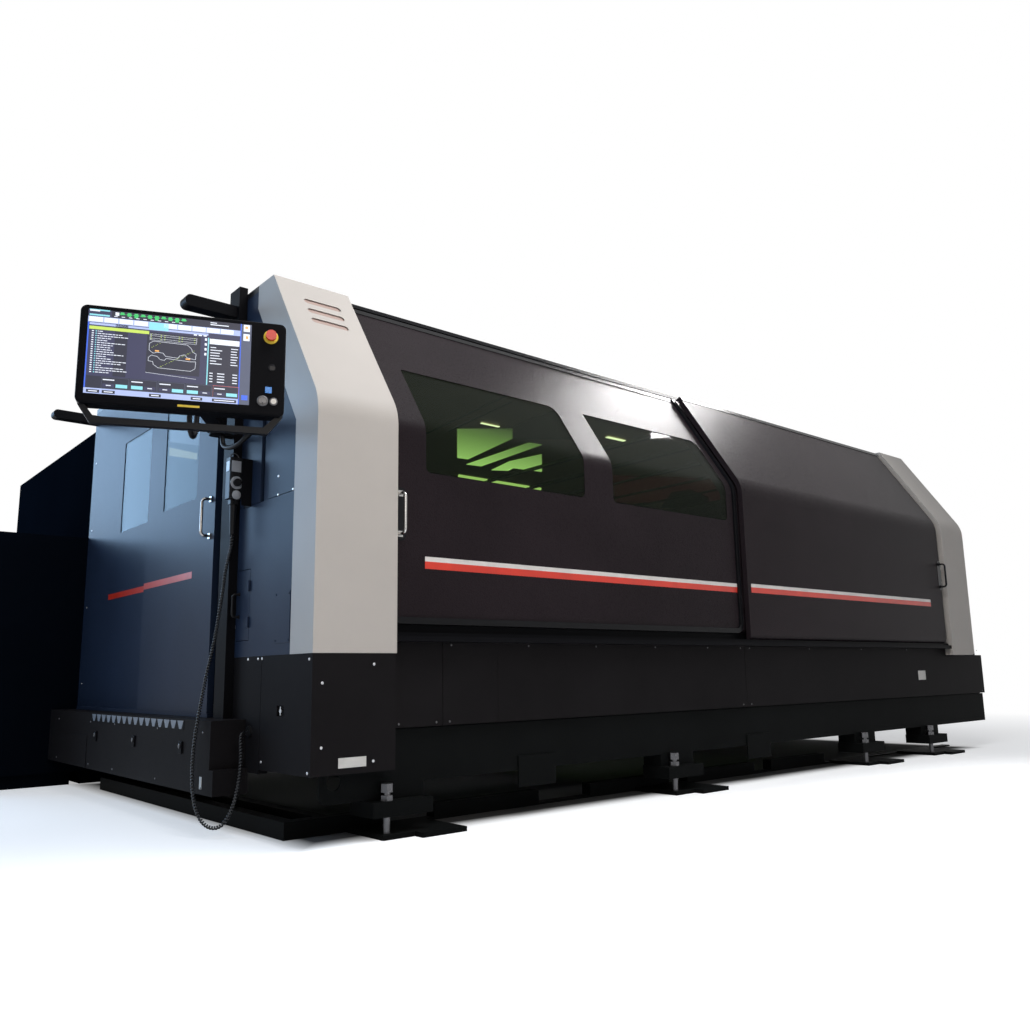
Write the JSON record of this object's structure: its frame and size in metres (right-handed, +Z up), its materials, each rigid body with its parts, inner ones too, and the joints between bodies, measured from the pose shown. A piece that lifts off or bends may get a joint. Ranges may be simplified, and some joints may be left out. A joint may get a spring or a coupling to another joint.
{
  "type": "fiber laser cutting machine",
  "caption": "Enclosed sheet metal cutting machine with sliding front doors, a window wall, a swing-arm operator console, and a gantry, cutting head and slatted pallet inside",
  "frame": {"origin": "middle of the floor area that the machine covers, on the floor", "axes": "X along the front from the console end to the far end, Y from the front to the back, Z up"},
  "size_m": [6.9814, 5.4392, 2.46],
  "materials": {
    "pillar": "satin powder coat",
    "door": "fine textured powder coat",
    "base": "satin paint",
    "panel": "fine textured powder coat",
    "end": "fine textured powder coat",
    "black": "satin powder coat",
    "glass": "tinted safety glass",
    "chrome": "polished",
    "steel": "zinc plated",
    "plastic": "fine textured",
    "screen": "display",
    "red": "gloss",
    "blue": "gloss",
    "white": "gloss",
    "rubber": "matt",
    "grey": "satin paint"
  },
  "bodies": {
    "cabin": {"left_pillar": "pillar", "right_pillar": "pillar", "door_tracks": "black", "front_frame": "black", "base_frame": "base", "levelling_bolts": "steel", "anchor_plates": "steel", "floor_rails": "grey", "lower_panel_left": "panel", "lower_panel_middle": "panel", "lower_panel_right": "panel", "corner_cabinet": "panel", "end_panel_upper": "end", "end_panel_lower": "end", "end_skirt": "end", "mast": "black", "top_arms": "end", "end_frame": "end", "fixed_leaf": "end", "fixed_window": "glass", "step_box": "black", "console_hose": "rubber", "pendant_holder": "grey", "pendant_body": "plastic", "cord_grommet": "rubber", "pendant_cord": "rubber", "roof_panel": "grey", "rear_wall": "grey", "right_wall": "grey", "bed_walls": "base", "gantry_rails": "steel", "pallet_frame": "base", "support_slats": "steel", "rear_cabinets": "grey", "right_end_boxes": "base"},
    "left_door": {"left_front_door": "door", "left_door_windows": "glass", "left_door_handle": "chrome"},
    "right_door": {"right_front_door": "door", "right_door_handle": "chrome"},
    "end_door": {"sliding_leaf": "end", "sliding_window": "glass", "sliding_handle": "chrome"},
    "service_flap": {"service_door": "end", "service_door_handle": "plastic"},
    "latch": {"cabinet_latch": "steel"},
    "swing_arm": {"console_arm": "black", "arm_hose": "rubber"},
    "yoke": {"console_yoke": "black"},
    "console": {"console_housing": "black", "console_screen": "screen", "console_handle": "black"},
    "stop_button": {"emergency_stop": "red"},
    "start_button": {"blue_button": "blue"},
    "reset_button": {"white_button": "white"},
    "key": {"key_switch": "steel"},
    "handset_knob": {"pendant_knob": "plastic"},
    "gantry": {"gantry_beam": "grey"},
    "carriage": {"carriage": "grey"},
    "head": {"cutting_head": "grey"}
  },
  "joints": [
    {"name": "left_door_slide", "type": "slide", "parent": "cabin", "child": "left_door", "axis": [1, 0, 0], "range_m": [0, 2.25]},
    {"name": "right_door_slide", "type": "slide", "parent": "cabin", "child": "right_door", "axis": [1, 0, 0], "range_m": [-2.25, 0]},
    {"name": "end_door_slide", "type": "slide", "parent": "cabin", "child": "end_door", "axis": [0, 1, 0], "range_m": [0, 0.9]},
    {"name": "service_door_hinge", "type": "hinge", "parent": "cabin", "child": "service_flap", "pos_m": [-2.64431, -2.03847, 0.8], "axis": [0, 0, 1], "range_deg": [0, 95]},
    {"name": "cabinet_latch_turn", "type": "hinge", "parent": "cabin", "child": "latch", "pos_m": [-2.62731, -2.362, 0.506], "axis": [1, 0, 0], "range_deg": [0, 90]},
    {"name": "console_arm_swing", "type": "hinge", "parent": "cabin", "child": "swing_arm", "pos_m": [-2.75131, -1.87497, 1.74], "axis": [0, 0, 1], "range_deg": [-70, 0]},
    {"name": "console_swivel", "type": "hinge", "parent": "swing_arm", "child": "yoke", "pos_m": [-3.08215, -2.377, 1.791], "axis": [0, 0, 1], "range_deg": [-45, 30]},
    {"name": "console_tilt", "type": "hinge", "parent": "yoke", "child": "console", "pos_m": [-3.11736, -2.46416, 1.791], "axis": [0.9272, -0.3746, 0], "range_deg": [-15, 15]},
    {"name": "stop_press", "type": "slide", "parent": "console", "child": "stop_button", "axis": [0.3746, 0.9272, 0], "range_m": [0, 0.006], "stiffness_N_per_m": 300},
    {"name": "start_press", "type": "slide", "parent": "console", "child": "start_button", "axis": [0.3746, 0.9272, 0], "range_m": [0, 0.003], "stiffness_N_per_m": 200},
    {"name": "reset_press", "type": "slide", "parent": "console", "child": "reset_button", "axis": [0.3746, 0.9272, 0], "range_m": [0, 0.003], "stiffness_N_per_m": 200},
    {"name": "key_turn", "type": "hinge", "parent": "console", "child": "key", "pos_m": [-2.8997, -2.67289, 1.663], "axis": [0.3746, 0.9272, 0], "range_deg": [0, 90]},
    {"name": "handset_knob_turn", "type": "hinge", "parent": "cabin", "child": "handset_knob", "pos_m": [-2.70131, -1.99997, 1.491], "axis": [0, 1, 0], "range_deg": [-150, 150]},
    {"name": "gantry_travel", "type": "slide", "parent": "cabin", "child": "gantry", "axis": [1, 0, 0], "range_m": [-1.45, 2.85]},
    {"name": "carriage_travel", "type": "slide", "parent": "gantry", "child": "carriage", "axis": [0, 1, 0], "range_m": [-0.74, 0.9]},
    {"name": "head_lift", "type": "slide", "parent": "carriage", "child": "head", "axis": [0, 0, 1], "range_m": [-0.06, 0.06]}
  ]
}
